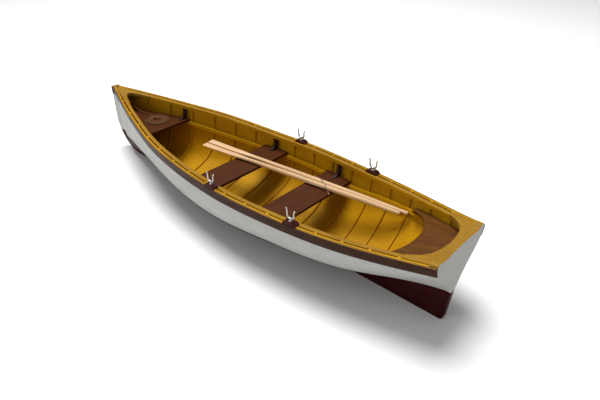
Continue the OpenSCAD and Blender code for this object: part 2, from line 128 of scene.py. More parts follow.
def on_hull(x, v, depth=0.0):
    """Breadth and height at x, v from 0 at the keel to 1 at the sheer, set in by depth."""
    s, k, b, lo, hi = along(x), keel_width / 2, half(x), bottom(x), sheer(x)
    rise, flare = math.radians(through(rise_rows, s)), math.radians(through(flare_rows, s))
    p = through(floor_rows, s) * ((b - k) * math.cos(rise) + (hi - lo) * math.sin(rise) / 2)
    q = through(side_rows, s) * (hi - lo)
    c = [Vector((k, lo)), Vector((k + p * math.cos(rise), lo + p * math.sin(rise))),
         Vector((b - q * math.sin(flare), hi - q * math.cos(flare))), Vector((b, hi))]
    w = 1 - v
    at = c[0] * w ** 3 + c[1] * 3 * v * w * w + c[2] * 3 * v * v * w + c[3] * v ** 3
    go = (c[1] - c[0]) * w * w + (c[2] - c[1]) * 2 * v * w + (c[3] - c[2]) * v * v
    go.normalize()
    return at.x - depth * go.y, at.y + depth * go.x


def inside(x, z, depth):
    """Half breadth at x and height z of the surface set in by depth."""
    lo, hi = 0.0, 1.0
    for _ in range(18):
        mid = (lo + hi) / 2
        if on_hull(x, mid, depth)[1] < z:
            lo = mid
        else:
            hi = mid
    return on_hull(x, lo, depth)[0]


def spaced(a, b, n):
    return [a + (b - a) * i / n for i in range(n + 1)]


def stations(n):
    """Places along the planking: n even steps, then closer ones round the forefoot."""
    turn = 16
    return spaced(aft_x, fore_x - forefoot, n) + [
        fore_x - forefoot + forefoot * math.sin(math.pi / 2 * i / turn) for i in range(1, turn + 1)]


def loft(loops, ends=True):
    """Points and faces of a skin over closed loops that have as many points each."""
    n = len(loops[0])
    last = (len(loops) - 1) * n
    faces = [(i * n + j, i * n + (j + 1) % n, (i + 1) * n + (j + 1) % n, (i + 1) * n + j)
             for i in range(len(loops) - 1) for j in range(n)]
    if ends:
        faces += [tuple(range(n)), tuple(last + j for j in range(n))]
    return [p for loop in loops for p in loop], faces


def make_piece(name, points, faces, finishes, rounding=0.0, rings=2, sharp=38):
    """A mesh of millimetre points, with clean outward faces, the finishes and eased edges."""
    work = bmesh.new()
    corners = [work.verts.new(Vector(p) * 0.001) for p in points]
    for f in faces:
        work.faces.new([corners[i] for i in f])
    bmesh.ops.remove_doubles(work, verts=work.verts, dist=1e-6)
    bmesh.ops.dissolve_degenerate(work, edges=work.edges, dist=1e-7)
    bmesh.ops.recalc_face_normals(work, faces=work.faces)
    mesh = bpy.data.meshes.new(name)
    work.to_mesh(mesh)
    work.free()
    mesh.polygons.foreach_set("use_smooth", [True] * len(mesh.polygons))
    mesh.set_sharp_from_angle(angle=math.radians(sharp))
    for finish in finishes:
        mesh.materials.append(finish)
    piece = bpy.data.objects.new(name, mesh)
    bpy.context.scene.collection.objects.link(piece)
    if rounding:
        ease = piece.modifiers.new("eased edges", "BEVEL")
        ease.width = rounding * 0.001
        ease.segments = rings
        ease.limit_method = "ANGLE"
        ease.angle_limit = math.radians(40)
        ease.harden_normals = True
    return piece


def fasten(piece, slot, *nodes, body="hull"):
    """Put a piece on its body, in place of the nodes that it stands for."""
    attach(piece, body)
    if nodes:
        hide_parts(*nodes)


class Recipe:
    """A material's node tree, built by short calls."""

    def __init__(self, name, rough, metal=0.0):
        self.material = bpy.data.materials.new(name)
        self.material.use_nodes = True
        self.tree = self.material.node_tree
        self.shader = self.tree.nodes["Principled BSDF"]
        self.shader.inputs["Roughness"].default_value = rough
        self.shader.inputs["Metallic"].default_value = metal
        self.shader.inputs["Specular IOR Level"].default_value = .09    # little sheen
        self.place = self.tree.nodes.new("ShaderNodeTexCoord")

    def link(self, a, b):
        self.tree.links.new(a, b)

    def noise(self, scale, detail=4, rough=.6, turn=0.0):
        """Noise on the piece, scale in lumps a metre along each axis, turned about Z."""
        axes = self.tree.nodes.new("ShaderNodeMapping")
        axes.vector_type = "TEXTURE"
        axes.inputs["Rotation"].default_value = (0, 0, turn)
        axes.inputs["Scale"].default_value = [1 / s for s in scale]
        self.link(self.place.outputs["Object"], axes.inputs["Vector"])
        lumps = self.tree.nodes.new("ShaderNodeTexNoise")
        lumps.inputs["Scale"].default_value = 1
        lumps.inputs["Detail"].default_value = detail
        lumps.inputs["Roughness"].default_value = rough
        self.link(axes.outputs["Vector"], lumps.inputs["Vector"])
        return lumps.outputs["Fac"]

    def ramp(self, value, stops):
        """Colours, or plain numbers as greys, spread over a value."""
        band = self.tree.nodes.new("ShaderNodeValToRGB")
        self.link(value, band.inputs["Fac"])
        while len(band.color_ramp.elements) < len(stops):
            band.color_ramp.elements.new(.5)
        for element, (at, colour) in zip(band.color_ramp.elements, stops):
            element.position = at
            shade = (colour,) * 3 if isinstance(colour, (int, float)) else colour
            element.color = (*shade, 1)
        return band.outputs["Color"]

    def blend(self, a, b, share):
        """Colour a turning into colour b by the share, from 0 to 1."""
        mix = self.tree.nodes.new("ShaderNodeMix")
        mix.data_type = "RGBA"
        for socket, value in ((mix.inputs[0], share), (mix.inputs[6], a), (mix.inputs[7], b)):
            if isinstance(value, bpy.types.NodeSocket):
                self.link(value, socket)
            elif isinstance(value, (int, float)):
                socket.default_value = value
            else:
                socket.default_value = (*value, 1)
        return mix.outputs[2]

    def bump(self, height, depth, under=None):
        """Relief of the given depth in millimetres."""
        relief = self.tree.nodes.new("ShaderNodeBump")
        relief.inputs["Distance"].default_value = depth * 0.001
        self.link(height, relief.inputs["Height"])
        if under:
            self.link(under, relief.inputs["Normal"])
        return relief.outputs["Normal"]

    def finish(self, colour, normal, rough=None):
        self.link(colour, self.shader.inputs["Base Color"])
        self.link(normal, self.shader.inputs["Normal"])
        if rough:
            self.link(rough, self.shader.inputs["Roughness"])
        return self.material


def height_over(recipe, slope):
    """Height over a plane through the origin that falls away forward by the slope, in metres."""
    split = recipe.tree.nodes.new("ShaderNodeSeparateXYZ")
    recipe.link(recipe.place.outputs["Object"], split.inputs["Vector"])
    tilt = recipe.tree.nodes.new("ShaderNodeMath")
    tilt.operation = "MULTIPLY_ADD"
    tilt.inputs[1].default_value = slope
    recipe.link(split.outputs["X"], tilt.inputs[0])
    recipe.link(split.outputs["Z"], tilt.inputs[2])
    return tilt.outputs[0]


def outside_paint():
    """White brushed paint over maroon, with a hand-cut edge near the waterline."""
    white, chalk, grime = (.46, .46, .44), (.385, .385, .355), (.43, .42, .37)
    maroon, dried = (.024, .0008, .001), (.036, .002, .0022)
    edge_slope, edge_wander, edge_blur = .0157, .0006, .0001
    r = Recipe("hull paint", .5)
    strokes = r.noise((45, 700, 500), 6, .65)
    clouds = r.noise((28, 60, 60), 3)
    upper = r.blend(r.ramp(strokes, [(.3, chalk), (.62, white)]), grime,
                    r.ramp(clouds, [(.5, 0), (.8, .35)]))
    lower = r.ramp(strokes, [(.35, maroon), (.75, dried)])
    wander = r.tree.nodes.new("ShaderNodeMath")
    wander.operation = "MULTIPLY_ADD"
    wander.inputs[1].default_value = edge_wander
    r.link(r.noise((130, 130, 130), 3), wander.inputs[0])
    r.link(height_over(r, edge_slope), wander.inputs[2])
    edge = r.tree.nodes.new("ShaderNodeMapRange")
    edge.inputs["From Min"].default_value = -edge_blur
    edge.inputs["From Max"].default_value = edge_blur
    r.link(wander.outputs[0], edge.inputs["Value"])
    relief = r.bump(r.noise((2500, 2500, 2500), 3), .012, r.bump(strokes, .05))
    return r.finish(r.blend(lower, upper, edge.outputs["Result"]), relief,
                    r.ramp(strokes, [(.3, .55), (.7, .42)]))


def inside_paint(name, thin, full, dark):
    """Brushed mustard paint: streaks, darker cloudy patches and specks of the darker colour."""
    r = Recipe(name, .5)
    strokes = r.noise((90, 900, 420), 6, .65)
    clouds = r.noise((22, 34, 34), 4, .6)
    coat = r.ramp(strokes, [(.32, thin), (.6, full)])
    coat = r.blend(coat, dark, r.ramp(clouds, [(.46, 0), (.78, .5)]))
    specks = r.ramp(r.noise((1500, 1500, 1500), 2), [(.66, 0), (.8, .35)])
    coat = r.blend(coat, dark, specks)
    relief = r.bump(r.noise((2600, 2600, 2600), 3), .014, r.bump(strokes, .05))
    return r.finish(coat, relief, r.ramp(strokes, [(.3, .56), (.7, .4)]))


hull_paint = outside_paint()
# One mustard paint in two copies. This one, for the inside, is brighter and richer than the copy on the tops:
# painted light for the shaded interior and its yellow bounce.
mustard = inside_paint("mustard paint", (.41, .20, .0015), (.49, .25, .003), (.25, .11, .001))

girth = 30             # steps from keel to sheer
xs = stations(70)
loops = []
for x in xs:
    outer = [on_hull(x, 1 - j / girth) for j in range(girth + 1)]
    inner = [on_hull(x, 1 - j / girth, plank) for j in range(girth + 1)]
    ring = [(x, y, z) for y, z in outer] + [(x, -y, z) for y, z in reversed(outer)]
    ring += [(x, -y, z) for y, z in inner] + [(x, y, z) for y, z in reversed(inner)]
    loops.append(ring)
points, faces = loft(loops, ends=False)
ring_size = 4 * (girth + 1)
for base in (0, (len(xs) - 1) * ring_size):
    for j in range(2 * girth + 1):
        faces.append((base + j, base + j + 1, base + ring_size - 2 - j, base + ring_size - 1 - j))
planking = make_piece("planking", points, faces, [hull_paint, mustard], sharp=50)
for face in planking.data.polygons:
    x, y, z = (c * 1000 for c in face.center)
    reach = max(inside(x, z, plank * .5), keel_width * .3)
    on_edge = face.normal.z > .9 and z > sheer(x) - .3
    face.material_index = 1 if abs(y) < reach - .05 or on_edge else 0
fasten(planking, "hull_paint", *[f"{row}_{hand}" for hand in ("port", "starboard") for row in (
    "garboard", "lower_bilge", "upper_bilge", "topside", "sheer_strake")])

# ---------------------------------------------------------------- backbone
# A straight keel with a rounded heel, a curved stem and a deadwood under the run aft, all cut
# from the same thickness of wood and painted with the hull.

stem_reach = 6.5       # how far the stem stands ahead of the planking
stem_front = fore_x + stem_reach
toe_x = fore_x - forefoot + 2
toe_z = plank_foot + forefoot
transom_thick = 5.0
stem_head = sheer(fore_x) + .1
let_in = .3            # how far the keel is let up between the planks
heel_rake = 2.2        # how far the after end of the keel leans forward to its foot
heel_round = 3


def upright(outline, width):
    """Points and faces of a flat shape in x and z, as thick as width across the centreline."""
    return loft([[(x, y, z) for x, z in outline] for y in (-width / 2, width / 2)])


heel_x = aft_x - transom_thick + heel_rake + heel_round
heel = [(heel_x + heel_round * math.cos(a), keel_foot + heel_round + heel_round * math.sin(a))
        for a in [math.radians(180 + 10 * i) for i in range(10)]]
run = [(x, bottom(x) + let_in)
       for x in spaced(aft_x - transom_thick, aft_x + run_share * hull_length, 26)]
keel_outline = heel + [(toe_x, keel_foot), (toe_x, plank_foot + let_in)] + run[::-1]
keel = make_piece("keel", *upright(keel_outline, keel_width), [hull_paint], .35)
fasten(keel, "bottom_paint", "keel", "deadwood")

face_curve = [(toe_x + (stem_front - toe_x) * math.sin(a), toe_z - (toe_z - keel_foot) * math.cos(a))
              for a in [math.radians(3 * i) for i in range(31)]]
back_curve = [(max(fore_x - forefoot + forefoot * math.sin(a), toe_x), toe_z - forefoot * math.cos(a))
              for a in [math.radians(3 * i) for i in range(30, -1, -1)]]
stem_outline = face_curve + [(stem_front - .8, stem_head - .3), (stem_front - 2, stem_head),
                             (fore_x + .1, stem_head)] + back_curve
# The same mustard, darker and duller than the inside copy: painted shade on the top faces, which take the
# most light.
mustard_tops_painted_shade = inside_paint("mustard tops painted shade", (.24, .12, .010), (.31, .165, .016), (.18, .08, .006))
stem = make_piece("stem", *upright(stem_outline, keel_width), [hull_paint, mustard_tops_painted_shade], .5)
# Top faces take the darker mustard copy, painted shade.
for face in stem.data.polygons:
    if face.normal.z > .4 and face.center.z > .03:
        face.material_index = 1
fasten(stem, "hull_paint", "stem")

# ---------------------------------------------------------------- transom
# One flat board across the stern, as thick as four planks, with a small round ear at each top
# corner. The outside is white, the inner face mustard and the top edge darker mustard, painted shade.

ear_high, ear_wide = 1.9, 2.6
crown_high, crown_fall, crown_half = 1.6, 1.1, 18    # the low crown between the ears


def transom_outline(x):
    side = [on_hull(x, v / girth) for v in range(girth)]
    ear_y, high = half(x) - ear_wide, sheer(x)
    top = [(ear_y + ear_wide * math.cos(a), high + ear_high * math.sqrt(math.sin(a)))
           for a in [math.radians(15 * i) for i in range(11)]]
    crown = [(y, high + crown_high - crown_fall * (y / crown_half) ** 2)
             for y in [crown_half * k / 6 for k in range(6, 0, -1)]]
    port = side + top + crown
    return port + [(0, high + crown_high)] + [(-y, z) for y, z in reversed(port)]


points, faces = loft([[(x, y, z) for y, z in transom_outline(x)]
                      for x in (aft_x, aft_x - transom_thick)])
transom = make_piece("transom", points, faces, [hull_paint, mustard_tops_painted_shade, mustard], .3)
# The top edge takes the darker mustard copy, painted shade; the forward face takes the inside copy.
for face in transom.data.polygons:
    if face.normal.x > .7:
        face.material_index = 2
    elif face.normal.x > -.7 and face.center.z > (sheer(aft_x) - .2) * .001:
        face.material_index = 1
fasten(transom, "hull_paint", "transom")

# ---------------------------------------------------------------- frames
# Sixteen thin strips, steamed and bent from sheer to sheer inside the planking, closer
# together towards the stern. They carry the same mustard paint as the planking behind them.

rib_width = 1.7
rib_thick = 1.25
rib_count = 16
rib_aft, rib_fore = 16.5, 30.0    # from the transom and from the stem to the end ribs
rib_sunk = .1                     # how far a rib is let into the planking


def rib_x(i):
    u = i / (rib_count - 1)
    return aft_x + rib_aft + (hull_length - rib_aft - rib_fore) * (.82 * u + .18 * u * u)


def bent_strip_tree():
    """Grows a strip with eased edges along every line of a mesh."""
    tree = bpy.data.node_groups.new("bent strips", "GeometryNodeTree")
    face = tree.interface
    face.new_socket("Lines", in_out="INPUT", socket_type="NodeSocketGeometry")
    inputs = {}
    for name, kind in (("Width", "NodeSocketFloat"), ("Thickness", "NodeSocketFloat"),
                       ("Easing", "NodeSocketFloat"), ("Paint", "NodeSocketMaterial")):
        inputs[name] = face.new_socket(name, in_out="INPUT", socket_type=kind).identifier
    face.new_socket("Strips", in_out="OUTPUT", socket_type="NodeSocketGeometry")
    new, link = tree.nodes.new, tree.links.new
    given, made = new("NodeGroupInput"), new("NodeGroupOutput")
    lines, shape = new("GeometryNodeMeshToCurve"), new("GeometryNodeCurvePrimitiveQuadrilateral")
    ease, sweep = new("GeometryNodeFilletCurve"), new("GeometryNodeCurveToMesh")
    real, coat = new("GeometryNodeRealizeInstances"), new("GeometryNodeSetMaterial")
    ease.mode = "POLY"
    ease.inputs["Count"].default_value = 2
    sweep.inputs["Fill Caps"].default_value = True
    link(given.outputs["Lines"], lines.inputs["Mesh"])
    link(given.outputs["Width"], shape.inputs["Width"])
    link(given.outputs["Thickness"], shape.inputs["Height"])
    link(given.outputs["Easing"], ease.inputs["Radius"])
    link(shape.outputs["Curve"], ease.inputs["Curve"])
    link(lines.outputs["Curve"], sweep.inputs["Curve"])
    link(ease.outputs["Curve"], sweep.inputs["Profile Curve"])
    link(sweep.outputs["Mesh"], real.inputs["Geometry"])
    link(real.outputs["Geometry"], coat.inputs["Geometry"])
    link(given.outputs["Paint"], coat.inputs["Material"])
    link(coat.outputs["Geometry"], made.inputs["Strips"])
    return tree, inputs


def grown(name, points, edges, tree, values, finish):
    """A plain mesh grown by a node tree from lines, with its faces turned outwards."""
    lines = bpy.data.meshes.new(name + " lines")
    lines.from_pydata([Vector(p) * 0.001 for p in points], edges, [])
    seed = bpy.data.objects.new(name + " lines", lines)
    bpy.context.scene.collection.objects.link(seed)
    growth = seed.modifiers.new("growth", "NODES")
    growth.node_group = tree
    for identifier, value in values.items():
        growth[identifier] = value
    bpy.context.view_layer.update()
    held = seed.evaluated_get(bpy.context.evaluated_depsgraph_get())
    mesh = bpy.data.meshes.new_from_object(held)
    mesh.name = name
    bpy.data.objects.remove(seed)
    work = bmesh.new()
    work.from_mesh(mesh)
    bmesh.ops.remove_doubles(work, verts=work.verts, dist=1e-6)
    bmesh.ops.recalc_face_normals(work, faces=work.faces)
    work.to_mesh(mesh)
    work.free()
    mesh.polygons.foreach_set("use_smooth", [True] * len(mesh.polygons))
    mesh.set_sharp_from_angle(angle=math.radians(50))
    if not mesh.materials:
        mesh.materials.append(finish)
    piece = bpy.data.objects.new(name, mesh)
    bpy.context.scene.collection.objects.link(piece)
    return piece


strip_tree, strip_inputs = bent_strip_tree()
points, edges = [], []
for i in range(rib_count):
    x, deep = rib_x(i), plank + rib_thick / 2 - rib_sunk
    arm = [on_hull(x, v, deep) for v in spaced(1, 0, 40)]
    bend = [(x, y, z) for y, z in arm] + [(x, -y, z) for y, z in reversed(arm)]
    start = len(points)
    points += bend
    edges += [(start + j, start + j + 1) for j in range(len(bend) - 1)]
ribs = grown("ribs", points, edges, strip_tree, {
    strip_inputs["Width"]: rib_width * 0.001,
    strip_inputs["Thickness"]: (rib_thick + 2 * rib_sunk) * 0.001,
    strip_inputs["Easing"]: .00022, strip_inputs["Paint"]: mustard}, mustard)
fasten(ribs, "mustard_paint", "ribs")

# ---------------------------------------------------------------- gunwale and riser
# An inwale inside the frame heads and a deep rubbing rail outside the planking, with the slot
# between the heads left open. A lighter riser runs round the frames under the seats.

seam = .03             # clearance between faces that lie together
inwale_width, inwale_deep = 3.1, 3.0
rail_thick, rail_deep, rail_stop = 1.4, 6.8, 2.5     # it stops that far short of the stem's face
riser_thick, riser_deep = 1.6, 3.0
riser_end = 120
gunwale_in = plank + rib_thick + seam
hook_x = 150.0                                       # fore end of the inwale, in the breasthook
knee_x = rib_x(0) - rib_width / 2 - 4 * seam         # its after end, by the first frame
seat_low = 14.8        # underside of the thwarts
bow_step = 4.5         # how much higher the fore seat is
bow_seat_x = 98.0      # after edge of the fore seat
# Places along the riser, with the height of its top over the thwarts' underside
riser_rows = [(-173, 11.3), (-129, 6.6), (-99, 3), (-84, .8), (-76, 0), (-60, 0), (7, 0), (22, 0),
              (64, 1.5), (98, 4.5), (104, 4.5), (150, 4.5)]


def rim(x):
    """Half breadth to the inwale's inner face."""
    return half(x) - gunwale_in - inwale_width - seam


def share_at(x, z):
    """How far up the section at x, from 0 to 1, its height is z."""
    lo, hi = 0.0, 1.0
    for _ in range(18):
        mid = (lo + hi) / 2
        if on_hull(x, mid)[1] < z:
            lo = mid
        else:
            hi = mid
    return lo


def mirrored(points, hand):
    return [(x, y if hand == "port" else -y, z) for x, y, z in points]


def wood(name, light, dark, pore, turn=0.0, rough=.45, streak=(22, 650, 650)):
    """Stained wood with its grain along the turned X axis."""
    r = Recipe(name, rough)
    figure = r.noise(streak, 5, .62, turn)
    fine = r.noise((streak[0] * 3, streak[1] * 5, streak[2] * 5), 4, .6, turn)
    coat = r.ramp(figure, [(.34, dark), (.62, light)])
    coat = r.blend(coat, pore, r.ramp(fine, [(.5, 0), (.72, .75)]))
    relief = r.bump(fine, .045, r.bump(figure, .03))
    return r.finish(coat, relief, r.ramp(fine, [(.35, rough - .07), (.7, rough + .12)]))


walnut = wood("walnut rail", (.048, .015, .005), (.028, .009, .003), (.013, .004, .002))

for hand in ("port", "starboard"):
    line = [knee_x] + [x for x in stations(60) if knee_x < x < hook_x] + [hook_x]
    points, faces = loft([[(x, rim(x) + inwale_width, sheer(x)), (x, rim(x), sheer(x)),
                           (x, rim(x), sheer(x) - inwale_deep),
                           (x, inside(x, sheer(x) - inwale_deep, gunwale_in) - seam,
                            sheer(x) - inwale_deep)] for x in line])
    inwale = make_piece(f"inwale_{hand}", mirrored(points, hand), faces, [mustard, mustard_tops_painted_shade], .3)
    # Its top takes the darker mustard copy, painted shade.
    for face in inwale.data.polygons:
        face.material_index = 1 if face.normal.z > .7 else 0
    fasten(inwale, "mustard_paint", f"inwale_{hand}")

    loops = []
    for x in [aft_x - transom_thick] + stations(60) + [stem_front - rail_stop]:
        low = share_at(x, sheer(x) - rail_deep)
        wall = [on_hull(x, low + (1 - low) * w, -seam) for w in spaced(1, 0, 4)]
        loops.append([(x, y + rail_thick, z) for y, z in wall] + [(x, y, z) for y, z in wall[::-1]])
    points, faces = loft(loops)
    rail = make_piece(f"rub_rail_{hand}", mirrored(points, hand), faces, [walnut, mustard_tops_painted_shade], .35, 3)
    # Its top takes the darker mustard copy, painted shade.
    for face in rail.data.polygons:
        face.material_index = 1 if face.normal.z > .7 else 0
    rail.modifiers["eased edges"].material = 0
    fasten(rail, "dark_wood", f"rub_rail_{hand}")

    loops = []
    for x in [x for x in stations(60) if x < riser_end]:
        z = seat_low - seam + (bow_step if x > bow_seat_x else through(riser_rows, x))
        top, low = inside(x, z, gunwale_in), inside(x, z - riser_deep, gunwale_in)
        loops.append([(x, top, z), (x, top - riser_thick, z),
                      (x, min(low, top) - riser_thick, z - riser_deep), (x, low, z - riser_deep)])
    points, faces = loft(loops)
    riser = make_piece(f"riser_{hand}", mirrored(points, hand), faces, [mustard], .3)
    fasten(riser, "mustard_paint", f"riser_{hand}")

# ---------------------------------------------------------------- breasthook and quarter knees
# Three flat boards that tie the gunwales to the stem and the transom, level with the sheer
# and hollowed on their inner edges, in the darker mustard of the gunwale tops: painted shade.

hook_thick = 3.0
hook_proud = .2        # how far the boards stand above the sheer
knee_reach, knee_root, knee_sweep = 17.0, 1.5, 6.5


def board(outline, under, thick):
    """A flat outline in x and y, its underside following under(x), thick in z."""
    return loft([[(x, y, under(x) + t) for x, y in outline] for t in (0, thick)])


def both_sides(run):
    return run + [(x, -y) for x, y in reversed(run)]


def tilted(x0, x1):
    """The underside of a board whose top lies along the sheer from x0 to x1."""
    rise = (sheer(x1) - sheer(x0)) / (x1 - x0)
    return lambda x: sheer(x0) + hook_proud + rise * (x - x0) - hook_thick


arm, throat, tip = 136.0, 153.5, fore_x - 2
hollow = [(arm + (throat - arm) * u, (rim(arm + (throat - arm) * u) - .9) * math.sqrt(1 - u ** 6))
          for u in [math.sin(math.radians(5 * i)) for i in range(18, -1, -1)]]
shoulder = [(x, rim(x) - 4 * seam) for x in spaced(arm, hook_x - .2, 5)]
snout = [(x, inside(x, sheer(x) - hook_thick, plank + seam) - 4 * seam)
         for x in spaced(hook_x + .1, tip, 10)]
breasthook = make_piece("breasthook", *board(both_sides(hollow[1:] + shoulder + snout),
                                             tilted(arm, tip), hook_thick), [mustard_tops_painted_shade], .35)
fasten(breasthook, "mustard_paint", "breasthook")

for hand in ("port", "starboard"):
    edge = [(x, inside(x, sheer(x) - hook_thick, plank + seam) - 4 * seam)
            for x in spaced(aft_x + .1, knee_x - seam, 8)]
    edge += [(x, rim(x) - .04) for x in (knee_x - seam, aft_x + knee_reach)]
    inner = rim(aft_x + knee_reach)
    sweep = [(aft_x + knee_root + (knee_reach - knee_root) * math.exp(-t / knee_sweep), inner - t)
             for t in [(inner - .02) * (i / 24) ** 1.5 for i in range(1, 25)]]
    outline = edge + sweep + [(aft_x + .1, sweep[-1][1])]
    points, faces = board(outline, tilted(aft_x, aft_x + knee_reach), hook_thick)
    knee = make_piece(f"quarter_knee_{hand}", mirrored(points, hand), faces, [mustard_tops_painted_shade], .3)
    fasten(knee, "mustard_paint", f"quarter_knee_{hand}")

# ---------------------------------------------------------------- seats
# Boards of stained open-grained wood, cut to fit the frames: a fore seat, two thwarts with
# their grain across the boat, and a stern bench with a round bay that slopes up to the transom.

seat_thick = 2.2
thwart_width = 23.5
thwart_places = {"forward_thwart": 7.3, "aft_thwart": -58.2}
across = math.pi / 2
brown, umber, pore = (.080, .022, .005), (.047, .012, .003), (.020, .005, .002)
thwart_wood = wood("thwart wood", brown, umber, pore, across)
bench_wood = wood("bench wood", (.135, .050, .008), (.080, .028, .006), pore, math.radians(12))


def edge_in(x, z):
    """Half breadth of a board that is cut to the frames at height z."""
    return inside(x, z, gunwale_in) - seam


bow_seat_z = seat_low + bow_step
bow_seat_tip = fore_x - 13
seats = [("bow_seat", bow_seat_x, bow_seat_tip, bow_seat_z)]
for name, x in thwart_places.items():
    seats.append((name, x - thwart_width / 2, x + thwart_width / 2, seat_low))
for name, x0, x1, z in seats:
    outline = both_sides([(x, edge_in(x, z)) for x in spaced(x0, x1, 14)])
    seat = make_piece(name, *board(outline, lambda x: z, seat_thick), [thwart_wood], .4, 3)
    fasten(seat, "seat_wood", name)

bench_x, bench_slope = -129.0, math.radians(6.1)
bench_z = seat_low + 6.7       # underside at the fore edge
bay_deep, bay_half = 19.3, 28.5


def bench_under(x):
    return bench_z + (bench_x - x) * math.tan(bench_slope)


sides = [(x, edge_in(x, bench_under(x))) for x in spaced(aft_x + .1, bench_x, 16)]
bay = [(bench_x - bay_deep * math.sin(a), bay_half * math.cos(a)) for a in spaced(0, math.pi, 36)]
bench_outline = sides + bay + [(x, -y) for x, y in reversed(sides)]
bench = make_piece("stern_bench", *board(bench_outline, bench_under, seat_thick), [bench_wood], .4, 3)
fasten(bench, "seat_wood", "stern_bench")

# ---------------------------------------------------------------- seat knees
# A sawn knee stands on each end of the fore seat and the thwarts and reaches up to the inwale,
# stained darker than the seats.

knee_thick = 3.0
knee_head, knee_foot, knee_toe = 2.4, 7.5, 1.0    # its length at the top and on the seat
knee_spots = [("bow_seat_knee", bow_seat_x + 4, bow_seat_z + seat_thick)]
knee_spots += [(f"{seat}_knee", x, seat_low + seat_thick) for seat, x in thwart_places.items()]
knee_wood = wood("knee wood", (.036, .013, .007), (.020, .007, .004), (.010, .004, .003), across)
for name, x, z in knee_spots:
    top = sheer(x) - inwale_deep - seam
    y0 = edge_in(x, z) - .2
    y1 = min(edge_in(x - knee_thick / 2, top), edge_in(x + knee_thick / 2, top)) - .2
    curve = [(y1 - knee_head - (knee_foot - knee_head) * (1 - math.cos(a)),
              top - (top - z - knee_toe) * math.sin(a)) for a in spaced(0, across, 10)]
    profile = [(y0, z), (y1, top)] + curve + [(y0 - knee_foot, z)]
    for hand in ("port", "starboard"):
        points, faces = loft([[(x + side, y, h) for y, h in profile]
                              for side in (-knee_thick / 2, knee_thick / 2)])
        knee = make_piece(f"{name}_{hand}", mirrored(points, hand), faces, [knee_wood], .35)
        fasten(knee, "dark_wood", f"{name}_{hand}")

# ---------------------------------------------------------------- oarlocks
# Four cast forks, their pins dropped into small stained blocks across the gunwale. Each fork
# is one tapered bar bent to a U with its tips turned out, on a short neck with a collar.

lock_places = {"fore": -16.6, "aft": -87.2}
pad_long, pad_wide, pad_high = 10.0, 5.2, 2.0
pad_edge, chamfer = .7, 2.0       # height of a pad's ends, and how far its top slopes down to them
pad_inset = .3                    # how far a pad stands in from the rail's face
neck, horn_gap, bar = 1.2, 4.2, 1.3
bar_sunk, bar_slim, bar_swell = .2, .78, .3
horn_tip = (.80, 4.0)             # how far a horn leans out, with its height over the bend
horn = [(.75, 3.8), (.36, 3.1), (.06, 2.2), (0, 1.1)]
collar = [(.1, .04), (1.35, .04), (1.35, .3), (.95, .62), (.72, 1), (.78, neck + .45), (.1, neck + .5)]


def lathe(rows, centre):
    """A turned shape: rows of radius and height."""
    sides = 28
    rings = [[(centre[0] + r * math.cos(a), centre[1] + r * math.sin(a), centre[2] + h)
              for a in [2 * math.pi * k / sides for k in range(sides)]] for r, h in rows]
    return loft(rings)


def tube(path, radii):
    """A round bar along a path, with its radius given at every point."""
    rings, sides, up = [], 14, Vector((0, 1, 0))
    for i, p in enumerate(path):
        go = (Vector(path[min(i + 1, len(path) - 1)]) - Vector(path[max(i - 1, 0)])).normalized()
        side = go.cross(up).normalized()
        lift = side.cross(go)
        rings.append([tuple(Vector(p) + radii[i] * (math.cos(a) * side + math.sin(a) * lift))
                      for a in [2 * math.pi * k / sides for k in range(sides)]])
    return loft(rings)


def joined(*parts):
    """The points and faces of several shapes, as one mesh."""
    points, faces = [], []
    for more, fresh in parts:
        faces += [tuple(i + len(points) for i in f) for f in fresh]
        points += more
    return points, faces


def cast_metal():
    r = Recipe("cast metal", .34, 1.0)
    grain = r.noise((1400, 1400, 1400), 4)
    cloud = r.noise((300, 300, 300), 3)
    tint = r.ramp(cloud, [(.35, (.42, .40, .37)), (.65, (.62, .60, .56))])
    return r.finish(tint, r.bump(grain, .03), r.ramp(cloud, [(.35, .44), (.7, .27)]))


pewter = cast_metal()
pad_stain = wood("pad stain", (.060, .011, .007), (.034, .006, .005), (.014, .003, .003))


def lock_spot(x):
    """Where the middle of a pad's underside is, across and up."""
    y = half(x) + rail_thick - pad_inset - pad_wide / 2
    z = max(sheer(x - pad_long / 2), sheer(x + pad_long / 2)) + seam
    return y, z


